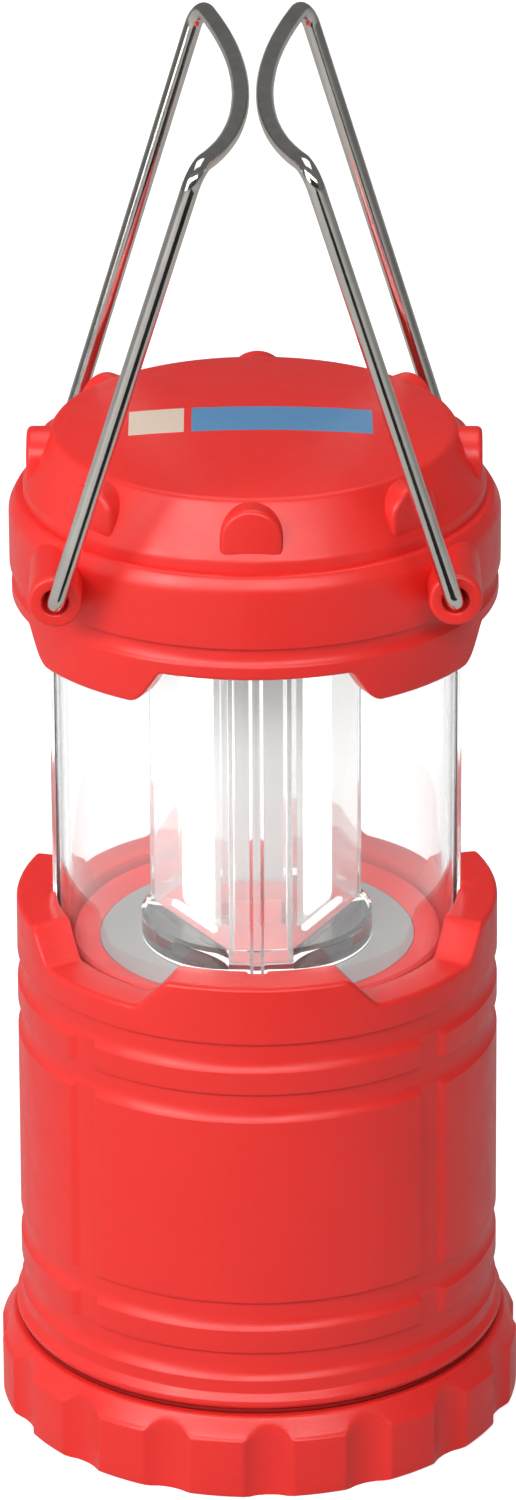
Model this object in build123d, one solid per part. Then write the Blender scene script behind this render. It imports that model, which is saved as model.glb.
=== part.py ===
from build123d import *
import os
from math import acos, cos, radians, sin, tan

os.makedirs("parts", exist_ok=True)

# A pop-up camping lantern. All sizes are in mm, +Z is up, -Y is the front, and Z = 0 is the
# face it stands on. It is modelled switched on, with the head pulled up and both bails raised.

# Base cap: the screw-on battery cover.
CAP_R = 28.6
CAP_RIM_Z = 9.2
CAP_BORE_R = 26.0
CAP_FLOOR = 2.0
FLUTES = 16
FLUTE_PHASE = 1.9
FLUTE_CUTTER_R = 4.8
FLUTE_DEPTH = 0.95

# Screw thread between the base cap and the body.
THREAD_PITCH = 3.0
THREAD_HEIGHT = 3.0

# Body shell.
BODY_TOP_R = 26.0
BODY_LOW_R = 26.2
BODY_IN_R = 24.3
NECK_R = 25.2
NECK_LOW_Z = 3.6
BODY_LOW_Z = 9.85
BEAD_R = 26.8
LIP_LOW_Z = 53.0
LIP_IN_R = 21.7
CROWN_FLOOR_Z = 56.0
CROWN_TOP_Z = 59.65
GROOVES = ((52.95, 49.65), (47.1, 43.8), (22.4, 19.05), (16.4, 13.05))
GROOVE_DEPTH = 0.6
COVE_R = 2.35
COVE_ANGLE = 42
CHANNEL_W = 3.7
CHANNEL_DEPTH = 0.45
CHANNEL_ANGLES = (43.9, 136.1, 223.9, 316.1)
GAP_ANGLES = (45, 135, 225, 315)

# Head.
SKIRT_LOW_Z = 90.65
SKIRT_RECESS_Z = 94.4
SKIRT_IN_R = 22.4
BAND_R = 26.05
BAND_LOW_Z = 98.0
BAND_TOP_Z = 105.8
BAND_LEDGE_Z = 98.6
BAND_THROAT_R = 21.2
DOME_RIDGE_R = 21.15
DOME_RIDGE_Z = 112.8
DOME_TOP_Z = 114.3
LUG_W = 6.5
LUG_FACE_R = 24.0
LUG_LOW_Z = 107.4
LUG_TOP_Z = 112.55
LUG_PHASE = -0.9

# Bails and the eyelets they turn in.
EYELET_X = 20.6
EYELET_Z = 102.4
EYELET_R = 2.8
EYELET_HOLE_R = 1.4
EYELET_FACE_Y = 23.7
WIRE_R = 0.93
BAIL_Y = 24.75
BAIL_TOP_X = 5.6
BAIL_TOP_Y = 27.2
BAIL_TOP_Z = 150.6
BAIL_BULGE = 4.55

# Lens tube.
LENS_R = 21.3
LENS_IN_R = 20.3
LENS_RIB_R = 22.05
LENS_RIB_W = 1.3
LENS_LOW_Z = 50.2
LENS_TOP_Z = 98.5
LENS_FLANGE_R = 24.0

# Light column: a triangle with cut corners, one light strip behind each face.
FACE_AZIMUTHS = (-148, -28, 92)
COLUMN_FACE = 8.55
COLUMN_CORNER = 11.45
COLUMN_WALL = 0.8
COLUMN_LOW_Z = 55.8
COLUMN_TOP_Z = 97.0
WELL_GAP = 0.25
STRIP_FRONT = 7.05
STRIP_T = 0.3
STRIP_W = 6.05
STRIP_LOW_Z = 58.9
STRIP_TOP_Z = 96.0
BOARD_W = 6.4
BOARD_T = 0.7
BOARD_LOW_Z = 57.8
DRIVER_Z = 99.5

# Battery cage and cells (three AAA cells).
CELL_R = 5.25
CELL_LOW_Z = 5.6
CELL_NUB = 0.8
CELL_LENGTH = 44.5
CELL_PCD_R = 14.45
CELL_BORE_R = 5.35
CAGE_R = 20.0
CAGE_LOW_Z = 8.0
CAGE_TOP_Z = 52.0
PLATE_T = 0.4
DECK_TOP_Z = 54.2
DISC_R = 17.0
FUNNEL_TOP_Z = 55.5
COLLAR_R = 12.5
COLLAR_TOP_Z = 57.6
POST_X = 5.4
POST_Y = 4.8
POST_TOP_Z = 59.3

# Small screws.
SCREW_R = 0.95
SCREW_HEAD_R = 1.7
SCREW_HEAD_H = 1.2
BODY_SCREW_PCD_R = 22.2
BODY_SCREW_ANGLES = (20, 140, 260)
HEAD_SCREW_PCD_R = 13.6
HEAD_SCREW_ANGLES = (30, 150, 270)


def turned(points):
    """A solid of revolution about Z from (radius, height) points."""
    return revolve(make_face(Plane.XZ * Polyline(*points, close=True)), Axis.Z)


def disc(radius, low, high):
    """A solid cylinder about Z between two heights."""
    return Pos(0, 0, (low + high) / 2) * Cylinder(radius, high - low)


def tube(outer, inner, low, high):
    """A plain ring about Z."""
    return disc(outer, low, high) - disc(inner, low - 1, high + 1)


def block(x_size, y_size, low, high):
    """A box centred on the axis between two heights."""
    return Pos(0, 0, (low + high) / 2) * Box(x_size, y_size, high - low)


def round_z(angles, shape):
    """Copies of a shape turned about Z."""
    return [Rot(0, 0, angle) * shape for angle in angles]


def column_prism(face, corner, low, high):
    """The light column's section: three faces at `face` and three cut corners at `corner`."""
    solid = disc(face * 2, low, high)
    for azimuth in FACE_AZIMUTHS:
        cutter = Pos(face + 30, 0, (low + high) / 2) * Box(60, 90, high - low + 2)
        solid -= Rot(0, 0, azimuth) * cutter
        corner_cutter = Pos(corner + 30, 0, (low + high) / 2) * Box(60, 90, high - low + 2)
        solid -= Rot(0, 0, azimuth + 60) * corner_cutter
    return solid


def notch(floor_z, edge_z, beyond_z, floor_half, edge_half, edge_round):
    """A front-facing cutter for a gap between two tabs, with sloping ends and rounded corners."""
    faces = []
    for radius in (19.0, 29.0):
        low = radius * tan(radians(floor_half))
        high = radius * tan(radians(edge_half))
        side = high + 0.2 * radius
        corners = [(-low, floor_z), (low, floor_z), (high, edge_z), (side, edge_z)]
        corners += [(side, beyond_z), (-side, beyond_z), (-side, edge_z), (-high, edge_z)]
        outline = make_face(Polyline(*corners, close=True))
        ends = [v for v in outline.vertices() if abs(v.X) < high + 0.01 and abs(v.Y - edge_z) < 0.01]
        outline = fillet(ends, edge_round)
        feet = [v for v in outline.vertices() if abs(v.X) < low + 0.01 and abs(v.Y - floor_z) < 0.01]
        outline = fillet(feet, 0.8)
        faces.append(Plane(origin=(0, -radius, 0), x_dir=(1, 0, 0), z_dir=(0, -1, 0)) * outline)
    return loft(faces)


def helical_ridge(radius, low, inward):
    """A low triangular thread ridge on a cylinder of the given radius."""
    path = Pos(0, 0, low) * Helix(THREAD_PITCH, THREAD_HEIGHT, radius)
    tip = -0.5 if inward else 0.5
    root = 0.2 if inward else -0.2
    start = Plane(origin=path @ 0, x_dir=(1, 0, 0), z_dir=path % 0)
    ridge = make_face(Polyline((root, -0.7), (tip, -0.15), (tip, 0.15), (root, 0.7), close=True))
    return sweep(start * ridge, path=path, is_frenet=True)


def body_radius(z):
    """The shell's slight taper."""
    return BODY_LOW_R + (BODY_TOP_R - BODY_LOW_R) * (z - 13) / 47


def groove(top, low):
    """Outline of one groove: a step, a flat wall, then a cove that ends in a crease."""
    points = [(body_radius(top), top), (body_radius(top) - GROOVE_DEPTH, top - 0.1)]
    foot = body_radius(low) - GROOVE_DEPTH
    for angle in range(0, COVE_ANGLE + 1, 7):
        out = COVE_R * (1 - cos(radians(angle)))
        rise = COVE_R * (sin(radians(COVE_ANGLE)) - sin(radians(angle)))
        points.append((foot + out, low + rise))
    return points


def body_shell():
    """Grooved shell with a castellated crown above and a threaded neck below."""
    outline = [(LIP_IN_R, LIP_LOW_Z), (LIP_IN_R, CROWN_FLOOR_Z), (25.3, CROWN_FLOOR_Z - 0.05)]
    outline += [(25.8, CROWN_FLOOR_Z - 0.35), (BODY_TOP_R, CROWN_FLOOR_Z - 0.9)]
    for top, low in GROOVES:
        outline += groove(top, low)
    outline += [(BODY_LOW_R, 11.6), (BEAD_R - 0.1, 10.9), (BEAD_R, 10.75), (BEAD_R, 10.45)]
    outline += [(26.65, 10.1), (26.4, BODY_LOW_Z), (NECK_R, BODY_LOW_Z), (NECK_R, NECK_LOW_Z)]
    outline += [(BODY_IN_R, NECK_LOW_Z), (BODY_IN_R, LIP_LOW_Z)]
    shell = turned(outline)

    crown = [(LIP_IN_R, 55.3), (LIP_IN_R, CROWN_TOP_Z), (25.4, CROWN_TOP_Z - 0.2)]
    crown += [(25.8, CROWN_TOP_Z - 0.45), (BODY_TOP_R, CROWN_TOP_Z - 0.85), (BODY_TOP_R, 55.3)]
    tabs = turned(crown)
    gap = notch(CROWN_FLOOR_Z, CROWN_TOP_Z + 0.02, CROWN_TOP_Z + 4, 15.5, 22.8, 1.0)
    for cutter in round_z(GAP_ANGLES, gap):
        tabs -= cutter
    shell += tabs

    slot = Pos(0, -LIP_IN_R, 57) * Box(1.9, 1.3, 12)
    channel = Pos(0, -BODY_LOW_R, (GROOVES[0][0] + GROOVES[3][1]) / 2)
    channel *= Box(CHANNEL_W, 2 * CHANNEL_DEPTH, GROOVES[0][0] - GROOVES[3][1] - 1)
    edges = channel.edges().filter_by(Axis.Z).sort_by(Axis.Y)[-2:]
    channel = chamfer(edges, 0.43)
    for cutter in round_z((0, 90, 180, 270), slot) + round_z(CHANNEL_ANGLES, channel):
        shell -= cutter

    boss = Pos(BODY_SCREW_PCD_R, 0, 0) * disc(1.9, CAGE_LOW_Z + 1.6, 15)
    boss += Pos(23.6, 0, (CAGE_LOW_Z + 1.6 + 15) / 2) * Box(1.8, 2.4, 15 - CAGE_LOW_Z - 1.6)
    pilot = Pos(BODY_SCREW_PCD_R, 0, 0) * disc(0.8, CAGE_LOW_Z, 14)
    for angle in BODY_SCREW_ANGLES:
        shell += Rot(0, 0, angle) * boss
        shell -= Rot(0, 0, angle) * pilot
    shell += helical_ridge(NECK_R, 5.2, False)
    return shell


def base_cap():
    """Fluted cup with an inner thread and a raised seat for the contact disc."""
    outline = [(0, 0), (28.2, 0), (28.5, 0.15), (CAP_R, 0.45), (CAP_R, 6.7), (28.5, 6.95)]
    outline += [(28.3, 7.1), (27.2, 9.0), (26.95, CAP_RIM_Z)]
    outline += [(CAP_BORE_R, CAP_RIM_Z), (CAP_BORE_R, CAP_FLOOR), (0, CAP_FLOOR)]
    cap = turned(outline)
    flute = Pos(0, -(CAP_R - FLUTE_DEPTH + FLUTE_CUTTER_R), 0) * disc(FLUTE_CUTTER_R, -1, 12)
    for index in range(FLUTES):
        cap -= Rot(0, 0, FLUTE_PHASE + index * 360 / FLUTES) * flute
    seat_top = CELL_LOW_Z - PLATE_T
    cap += tube(20.6, 19.4, CAP_FLOOR - 0.2, seat_top)
    cap += tube(8.6, 7.4, CAP_FLOOR - 0.2, seat_top)
    rib = Pos(14.0, 0, (CAP_FLOOR + seat_top) / 2 - 0.1) * Box(11.4, 1.2, seat_top - CAP_FLOOR + 0.2)
    for copy in round_z(range(0, 360, 60), rib):
        cap += copy
    cap += helical_ridge(CAP_BORE_R, 3.6, True)
    return cap


def base_gasket():
    """O-ring in the joint between the base cap's rim and the body."""
    return Pos(0, 0, (CAP_RIM_Z + BODY_LOW_Z) / 2) * Torus(26.2, 0.3)


def contact_disc():
    """Flat ring on the cap's seat that all three cells press on."""
    return tube(20.4, 7.6, CELL_LOW_Z - PLATE_T, CELL_LOW_Z)


def cell():
    """One AAA cell, positive end down."""
    can_low = CELL_LOW_Z + CELL_NUB
    can_top = CELL_LOW_Z + CELL_LENGTH
    outline = [(0, CELL_LOW_Z), (1.7, CELL_LOW_Z), (1.9, CELL_LOW_Z + 0.2), (1.9, can_low)]
    outline += [(4.7, can_low), (CELL_R, can_low + 0.5), (CELL_R, can_top - 0.4)]
    outline += [(4.8, can_top), (0, can_top)]
    return Pos(CELL_PCD_R, 0, 0) * turned(outline)


def battery_cage():
    """Three cell tubes in a skin, around the well that the light column slides down."""
    skin = disc(CAGE_R, CAGE_LOW_Z, CAGE_TOP_Z)
    cage = tube(CAGE_R, CAGE_R - 0.5, CAGE_LOW_Z, CAGE_TOP_Z)
    cage += disc(24.1, CAGE_LOW_Z, CAGE_LOW_Z + 1.6)
    cage += disc(CAGE_R, CAGE_LOW_Z, CAGE_LOW_Z + 2)
    face = COLUMN_FACE + WELL_GAP
    corner = COLUMN_CORNER + WELL_GAP
    cage += column_prism(face + 0.55, corner + 0.8, CAGE_LOW_Z, CAGE_TOP_Z)
    sleeve = Pos(CELL_PCD_R, 0, 0) * disc(CELL_BORE_R + 0.45, CAGE_LOW_Z, CAGE_TOP_Z)
    bore = Pos(CELL_PCD_R, 0, 0) * disc(CELL_BORE_R, CAGE_LOW_Z - 1, CAGE_TOP_Z + 1)
    for azimuth in FACE_AZIMUTHS:
        cage += skin & (Rot(0, 0, azimuth) * sleeve)
    cage -= column_prism(face, corner, CAGE_LOW_Z + 2, 60)
    for copy in round_z(FACE_AZIMUTHS, bore):
        cage -= copy
    hole = Pos(BODY_SCREW_PCD_R, 0, 0) * disc(SCREW_R + 0.1, CAGE_LOW_Z - 1, CAGE_LOW_Z + 3)
    for copy in round_z(BODY_SCREW_ANGLES, hole):
        cage -= copy
    return cage


def guide_post():
    """Post inside the sliding column, grooved on both sides for the contact rails."""
    post = block(POST_X, POST_Y, CAGE_LOW_Z + 2, POST_TOP_Z)
    post = chamfer(post.edges().filter_by(Axis.Z), 0.4)
    for side in (-1, 1):
        middle = (CAGE_LOW_Z + POST_TOP_Z) / 2 + 1
        post -= Pos(side * POST_X / 2, 0, middle) * Box(1.2, 2.4, POST_TOP_Z - CAGE_LOW_Z - 2.8)
    return post


def contact_rails():
    """Two strips on the post. Only their raised upper ends meet the brushes."""
    inner = POST_X / 2 - 0.6
    strip = Pos(inner + 0.2, 0, 31.5) * Box(0.4, 2.2, 41)
    pad = Pos(inner + 0.3, 0, 54.7) * Box(0.6, 2.2, 5.8)
    rail = strip + pad
    return Compound(children=[rail, Rot(0, 0, 180) * rail])


def deck():
    """Lid of the battery cage with the red funnel that faces the lens."""
    low = CAGE_TOP_Z + PLATE_T
    outline = [(0, low), (CAGE_R, low), (CAGE_R, FUNNEL_TOP_Z - 0.3), (19.7, FUNNEL_TOP_Z)]
    outline += [(19.4, FUNNEL_TOP_Z - 0.1), (DISC_R + 0.1, DECK_TOP_Z + 0.4)]
    outline += [(DISC_R + 0.1, DECK_TOP_Z), (0, DECK_TOP_Z)]
    well = column_prism(COLUMN_FACE + WELL_GAP, COLUMN_CORNER + WELL_GAP, 50, 60)
    return turned(outline) - well


def reflector_disc():
    """Grey disc around the foot of the light column."""
    well = column_prism(COLUMN_FACE + WELL_GAP, COLUMN_CORNER + WELL_GAP, 50, 60)
    return disc(DISC_R, DECK_TOP_Z, DECK_TOP_Z + 0.4) - well


def light_collar():
    """Clear round foot that guides the light column."""
    low = DECK_TOP_Z + 0.4
    outline = [(0, low), (COLLAR_R, low), (COLLAR_R, COLLAR_TOP_Z - 0.4)]
    outline += [(COLLAR_R - 0.4, COLLAR_TOP_Z), (0, COLLAR_TOP_Z)]
    well = column_prism(COLUMN_FACE + WELL_GAP, COLUMN_CORNER + WELL_GAP, 50, 60)
    return turned(outline) - well


def top_contact_plate():
    """Plate above the cells, open for the light column."""
    well = column_prism(COLUMN_FACE + WELL_GAP + 0.2, COLUMN_CORNER + WELL_GAP + 0.2, 50, 60)
    return disc(19.4, CAGE_TOP_Z, CAGE_TOP_Z + PLATE_T) - well


def cell_springs():
    """Three flat coil springs between the plate and the cells."""
    low = CELL_LOW_Z + CELL_LENGTH + 0.25
    path = Helix(0.7, 1.4, 3.2)
    wire = sweep(Plane(origin=path @ 0, z_dir=path % 0) * Circle(0.22), path=path)
    spring = Pos(CELL_PCD_R, 0, low) * wire
    return Compound(children=round_z(FACE_AZIMUTHS, spring))


def screw(radius, low_head_z, length):
    """A pan-head screw pushed in from below, with a cross recess."""
    head = Pos(radius, 0, 0) * disc(SCREW_HEAD_R, low_head_z, low_head_z + SCREW_HEAD_H)
    head = chamfer(head.edges().group_by(Axis.Z)[0], 0.35)
    shank_low = low_head_z + SCREW_HEAD_H - 0.1
    shank = Pos(radius, 0, 0) * disc(0.78, shank_low, low_head_z + SCREW_HEAD_H + length)
    recess = Pos(radius, 0, low_head_z + 0.3) * (Box(1.9, 0.45, 0.7) + Box(0.45, 1.9, 0.7))
    return head + shank - recess


def body_screws():
    """Three screws that hold the battery cage in the shell."""
    one = screw(BODY_SCREW_PCD_R, CAGE_LOW_Z - SCREW_HEAD_H, 5.4)
    return Compound(children=round_z(BODY_SCREW_ANGLES, one))


def head_screws():
    """Three screws that hold the driver board in the head."""
    one = screw(HEAD_SCREW_PCD_R, DRIVER_Z - SCREW_HEAD_H, 5.0)
    return Compound(children=round_z(HEAD_SCREW_ANGLES, one))


def lens():
    """Clear tube with four guide ribs and a stop flange under the crown's lip."""
    body = tube(LENS_R, LENS_IN_R, LENS_LOW_Z, LENS_TOP_Z)
    body += tube(LENS_FLANGE_R, LENS_IN_R, LENS_LOW_Z, LIP_LOW_Z - 0.06)
    body += tube(22.2, LENS_IN_R, LENS_TOP_Z - 1.4, LENS_TOP_Z)
    middle = (LIP_LOW_Z + LENS_TOP_Z) / 2 - 0.5
    rib = Pos(0, -(LENS_R + LENS_RIB_R) / 2, middle)
    rib *= Box(LENS_RIB_W, LENS_RIB_R - LENS_R + 0.4, LENS_TOP_Z - LIP_LOW_Z - 0.9)
    rib = fillet(rib.edges().filter_by(Axis.Z).sort_by(Axis.Y)[:2], 0.35)
    for copy in round_z((0, 90, 180, 270), rib):
        body += copy
    return body


def light_column():
    """Clear hollow prism around the light strips."""
    inner = column_prism(COLUMN_FACE - COLUMN_WALL, COLUMN_CORNER - COLUMN_WALL, 50, 99)
    return column_prism(COLUMN_FACE, COLUMN_CORNER, COLUMN_LOW_Z, COLUMN_TOP_Z) - inner


def cob_board():
    """Aluminium board that carries one light strip."""
    middle = (BOARD_LOW_Z + DRIVER_Z) / 2
    distance = STRIP_FRONT - STRIP_T - BOARD_T / 2
    return Pos(distance, 0, middle) * Box(BOARD_T, BOARD_W, DRIVER_Z - BOARD_LOW_Z)


def cob_strip():
    """Light strip on the outer face of its board."""
    strip = Pos(STRIP_FRONT - STRIP_T / 2, 0, (STRIP_LOW_Z + STRIP_TOP_Z) / 2)
    strip *= Box(STRIP_T, STRIP_W, STRIP_TOP_Z - STRIP_LOW_Z)
    return fillet(strip.edges().filter_by(Axis.X), 0.8)


def brush_carrier():
    """Plate across the foot of the column that holds the brushes and clears the post."""
    low = COLUMN_LOW_Z + 0.1
    plate = column_prism(COLUMN_FACE - COLUMN_WALL - 0.05, COLUMN_CORNER - COLUMN_WALL - 0.05, low, low + 0.8)
    return plate - block(POST_X + 1.4, POST_Y + 0.8, low - 1, low + 2)


def brush_springs():
    """Two bent leaves that press on the rails when the head is up."""
    outline = [(3.55, 55.9), (4.7, 55.9), (4.7, 55.6), (3.85, 55.6), (3.1, 53.4), (3.35, 52.5)]
    outline += [(3.1, 52.4), (2.72, 53.4)]
    leaf = make_face(Plane.XZ * Polyline(*outline, close=True))
    leaf = extrude(leaf, 0.9, both=True)
    return Compound(children=[leaf, Rot(0, 0, 180) * leaf])


def top_reflector():
    """White disc at the top of the lens."""
    hole = column_prism(COLUMN_FACE + 0.1, COLUMN_CORNER + 0.1, 90, 99)
    return disc(LENS_IN_R - 0.15, 95.2, 95.8) - hole


def driver_board():
    """Round circuit board above the light column."""
    board = disc(17.0, DRIVER_Z, DRIVER_Z + 1.5)
    hole = Pos(HEAD_SCREW_PCD_R, 0, 0) * disc(SCREW_R + 0.1, DRIVER_Z - 1, DRIVER_Z + 3)
    for copy in round_z(HEAD_SCREW_ANGLES, hole):
        board -= copy
    return board


def driver_parts():
    """Choke, chip and resistors on the driver board."""
    top = DRIVER_Z + 1.5
    parts = [Pos(0, 0, 0) * disc(3.2, top, top + 3.0)]
    parts.append(Pos(8, 3, top + 0.5) * Box(5, 4, 1.0))
    for x in (-4, 0, 4):
        parts.append(Pos(x, -8, top + 0.3) * Box(2.0, 1.2, 0.6))
    return Compound(children=parts)


def head_band():
    """Ring that holds the lens, with a castellated skirt and four bail eyelets."""
    outline = [(SKIRT_IN_R, SKIRT_RECESS_Z), (25.5, SKIRT_RECESS_Z), (25.75, SKIRT_RECESS_Z + 0.25)]
    outline += [(25.85, 95.9), (25.8, 96.0), (25.5, 96.45), (25.35, 96.9), (25.3, 97.4)]
    outline += [(25.4, 97.75), (BAND_R - 0.1, BAND_LOW_Z - 0.05), (BAND_R, BAND_LOW_Z + 0.05)]
    outline += [(BAND_R, 104.3), (25.9, 104.75), (25.2, BAND_TOP_Z)]
    outline += [(BAND_THROAT_R, BAND_TOP_Z), (BAND_THROAT_R, BAND_LEDGE_Z), (SKIRT_IN_R, BAND_LEDGE_Z)]
    band = turned(outline)
    skirt = [(SKIRT_IN_R, SKIRT_LOW_Z), (25.4, SKIRT_LOW_Z), (25.65, SKIRT_LOW_Z + 0.25)]
    skirt += [(25.8, 95.4), (SKIRT_IN_R, 95.4)]
    tabs = turned(skirt)
    gap = notch(SKIRT_RECESS_Z, SKIRT_LOW_Z - 0.02, SKIRT_LOW_Z - 4, 23.0, 28.9, 1.9)
    for cutter in round_z((0, 90, 180, 270), gap):
        tabs -= cutter
    band += tabs
    hollow = disc(SKIRT_IN_R, 80, BAND_LEDGE_Z) + disc(BAND_THROAT_R, 90, 110)
    for x in (-EYELET_X, EYELET_X):
        for side in (-1, 1):
            length = EYELET_FACE_Y - 10
            boss = Pos(x, side * (EYELET_FACE_Y + 10) / 2, EYELET_Z) * Rot(90, 0, 0)
            band += boss * Cylinder(EYELET_R, length) - hollow
            hole = Pos(x, side * 20.6, EYELET_Z) * Rot(90, 0, 0)
            band -= hole * Cylinder(EYELET_HOLE_R, 8)
    return band


def lug():
    """One D-shaped grip lug, facing the front."""
    centre_z = LUG_TOP_Z - LUG_W / 2
    half = LUG_W / 2
    arc = ThreePointArc((half, centre_z), (0, LUG_TOP_Z), (-half, centre_z))
    base = Polyline((-half, centre_z), (-half, LUG_LOW_Z + 0.6), (-half + 0.6, LUG_LOW_Z))
    base += Polyline((-half + 0.6, LUG_LOW_Z), (half - 0.6, LUG_LOW_Z), (half, LUG_LOW_Z + 0.6))
    base += Line((half, LUG_LOW_Z + 0.6), (half, centre_z))
    face = Plane(origin=(0, -LUG_FACE_R, 0), x_dir=(1, 0, 0), z_dir=(0, -1, 0)) * make_face(arc + base)
    solid = extrude(face, -6.0)
    return fillet(solid.edges().group_by(Axis.Y)[0], 0.5)


def head_cap():
    """Domed top with eight lugs and a spigot that fits in the band."""
    ridge = (DOME_RIDGE_R, DOME_RIDGE_Z)
    half_way = (DOME_RIDGE_R / 2, DOME_TOP_Z - (DOME_TOP_Z - DOME_RIDGE_Z) / 4)
    dome = ThreePointArc((0, DOME_TOP_Z), half_way, ridge)
    flank = Polyline(ridge, (21.5, 112.35), (24.5, 107.0), (24.5, BAND_TOP_Z), (0, BAND_TOP_Z))
    axis = Line((0, BAND_TOP_Z), (0, DOME_TOP_Z))
    shell = Rot(0, 0, 11) * revolve(make_face(Plane.XZ * (dome + flank + axis)), Axis.Z)
    shell = shell.fuse(*[Rot(0, 0, LUG_PHASE + 45 * index) * lug() for index in range(8)])
    hollow = [(0, 112.7), (10, 112.3), (19.4, 111.2), (19.6, 110.9), (19.6, 100), (0, 100)]
    shell -= turned(hollow)
    shell += tube(BAND_THROAT_R - 0.1, 19.6, 101.5, BAND_TOP_Z + 0.5)
    boss = Pos(HEAD_SCREW_PCD_R, 0, 0) * (disc(2.1, DRIVER_Z + 1.5, 112.4) - disc(0.8, 100, 107))
    for copy in round_z(HEAD_SCREW_ANGLES, boss):
        shell += copy
    return shell


def bail():
    """Left wire bail: two splayed legs with inturned ends and a crossbar that bows away from them."""
    pivot = Vector(-EYELET_X, 0, EYELET_Z)
    rise = Vector(EYELET_X - BAIL_TOP_X, 0, BAIL_TOP_Z - EYELET_Z)
    bow = Vector(rise.Z, 0, -rise.X).normalized()
    back = Vector(0, 1, 0)
    turn = 2 * BAIL_BULGE / BAIL_TOP_Y
    along = (back + bow * turn).normalized()
    away = (back - bow * turn).normalized()
    bend = 2.6
    end_bend = 1.2
    front = pivot - back * BAIL_Y
    rear = pivot + back * BAIL_Y
    front_top = pivot + rise - back * BAIL_TOP_Y
    rear_top = pivot + rise + back * BAIL_TOP_Y
    front_leg = (front_top - front).normalized()
    rear_leg = (rear_top - rear).normalized()

    def corner(point, first, second, length):
        """A round bend that leaves a point by one length along each of two unit directions."""
        bisector = (first + second).normalized()
        half = acos(first.dot(bisector))
        middle = point + bisector * (length / cos(half) - length * tan(half))
        return ThreePointArc(point + first * length, middle, point + second * length)

    middle = pivot + rise + bow * BAIL_BULGE
    path = [Line(front + back * 7, front + back * end_bend)]
    path.append(corner(front, back, front_leg, end_bend))
    path.append(Line(front + front_leg * end_bend, front_top - front_leg * bend))
    path.append(corner(front_top, -front_leg, along, bend))
    crossbar = (front_top + along * bend, middle, rear_top - away * bend)
    path.append(Spline(*crossbar, tangents=(along, away)))
    path.append(corner(rear_top, -away, -rear_leg, bend))
    path.append(Line(rear_top - rear_leg * bend, rear + rear_leg * end_bend))
    path.append(corner(rear, rear_leg, -back, end_bend))
    path.append(Line(rear - back * end_bend, rear - back * 7))
    wire = Wire(path)
    section = Plane(origin=wire @ 0, z_dir=wire % 0) * Circle(WIRE_R)
    return sweep(section, path=wire)


def write(name, shape):
    """Save one node."""
    export_step(shape, "parts/" + name + ".step")


write("body_shell", body_shell())
write("base_cap", base_cap())
write("base_gasket", base_gasket())
write("contact_disc", contact_disc())
write("battery_cage", battery_cage())
write("guide_post", guide_post())
write("contact_rails", contact_rails())
write("battery_deck", deck())
write("reflector_disc", reflector_disc())
write("light_collar", light_collar())
write("top_contact_plate", top_contact_plate())
write("cell_springs", cell_springs())
write("body_screws", body_screws())
write("lens", lens())
write("light_column", light_column())
for number, azimuth in enumerate(FACE_AZIMUTHS, 1):
    write("aaa_cell_" + str(number), Rot(0, 0, azimuth) * cell())
    write("cob_board_" + str(number), Rot(0, 0, azimuth) * cob_board())
    write("cob_strip_" + str(number), Rot(0, 0, azimuth) * cob_strip())
write("brush_carrier", brush_carrier())
write("brush_springs", brush_springs())
write("top_reflector", top_reflector())
write("driver_board", driver_board())
write("driver_parts", driver_parts())
write("head_screws", head_screws())
write("head_band", head_band())
write("head_cap", head_cap())
write("bail_left", bail())
write("bail_right", Rot(0, 0, 180) * bail())
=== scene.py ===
from math import acos, cos, hypot, pi, radians, sin, sqrt, tan

import bpy
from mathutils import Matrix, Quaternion, Vector


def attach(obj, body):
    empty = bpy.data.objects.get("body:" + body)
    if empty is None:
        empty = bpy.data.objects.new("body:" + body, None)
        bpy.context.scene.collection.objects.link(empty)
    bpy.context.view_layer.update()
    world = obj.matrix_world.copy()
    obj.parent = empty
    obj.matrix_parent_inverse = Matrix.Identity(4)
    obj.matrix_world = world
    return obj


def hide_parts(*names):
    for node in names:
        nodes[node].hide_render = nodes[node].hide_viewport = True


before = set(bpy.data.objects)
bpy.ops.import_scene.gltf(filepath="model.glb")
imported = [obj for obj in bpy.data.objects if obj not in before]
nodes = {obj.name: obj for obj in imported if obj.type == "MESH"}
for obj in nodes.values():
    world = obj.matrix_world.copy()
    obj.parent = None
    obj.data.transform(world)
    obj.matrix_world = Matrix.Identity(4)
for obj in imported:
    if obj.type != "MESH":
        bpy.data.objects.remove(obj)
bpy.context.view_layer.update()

MM = 0.001
scene = bpy.context.scene

# ---------------------------------------------------------------- shapes in mm, angles in degrees
TABS = (0, 90, 180, 270)

# body shell
BODY_TOP_R, BODY_LOW_R, BODY_IN_R = 26.0, 26.2, 24.3
BODY_LOW, BODY_TAPER_LOW, BODY_TAPER = 9.85, 13, 47
BEAD_OUT = 0.6
NECK_R, NECK_LOW = 25.2, 3.6
LIP_LOW, LIP_IN_R = 53.0, 21.7
CROWN_FLOOR, CROWN_TOP = 56.0, 59.65
GROOVES = ((52.95, 49.65), (47.1, 43.8), (22.4, 19.05), (16.4, 13.05))
GROOVE_DEPTH = 0.6
GROOVE_EDGE = ((0.12, 0.0), (0.05, 0.015), (0.0, 0.06), (-0.04, 0.15), (-0.07, 0.55), (-0.1, 0.6))
COVE_R, COVE_ANGLE = 2.35, 42
CHANNEL_DEPTH, CHANNEL_ANGLE = 0.42, 46.1

# base cap
CAP_R, CAP_RIM, CAP_BORE_R, CAP_FLOOR, CAP_RIB_TOP = 28.6, 9.2, 26.0, 2.0, 5.2
FLUTES, FLUTE_PHASE, FLUTE_CENTRE_R, FLUTE_R = 16, 1.9, 32.45, 4.8
THREAD_RISE = 3.0

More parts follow.
